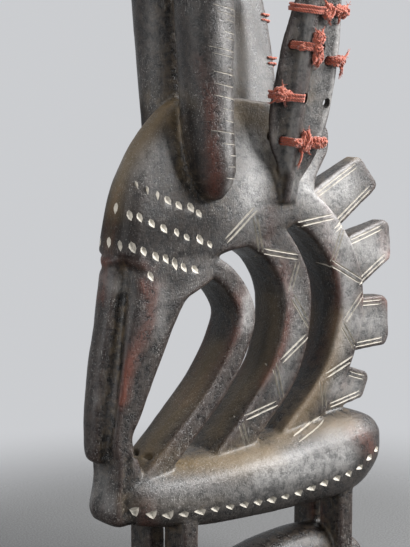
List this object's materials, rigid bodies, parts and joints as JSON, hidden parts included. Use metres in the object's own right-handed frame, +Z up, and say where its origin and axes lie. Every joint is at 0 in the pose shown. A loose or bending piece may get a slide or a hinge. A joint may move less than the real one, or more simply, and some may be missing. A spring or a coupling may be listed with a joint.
{
  "type": "chiwara headdress",
  "caption": "Carved wooden antelope crest figure with upright horns, a crescent neck of curved bars with tabs, tied ears and short legs on a low plinth.",
  "frame": {"origin": "middle of the plinth's underside", "axes": "+Z up; the animal faces -X; its left side is towards -Y"},
  "size_m": [0.218, 0.0901, 0.6772],
  "materials": {
    "dark_wood": "black-brown oiled patina, satin",
    "red_yarn": "matt cotton yarn"
  },
  "bodies": {
    "root": {"carved_headdress": "dark_wood", "left_ear_tie_1": "red_yarn", "left_ear_tie_2": "red_yarn", "left_ear_tie_3": "red_yarn", "left_ear_tie_4": "red_yarn", "left_ear_tie_5": "red_yarn", "right_ear_tie_1": "red_yarn", "right_ear_tie_2": "red_yarn", "right_ear_tie_3": "red_yarn"}
  },
  "joints": []
}
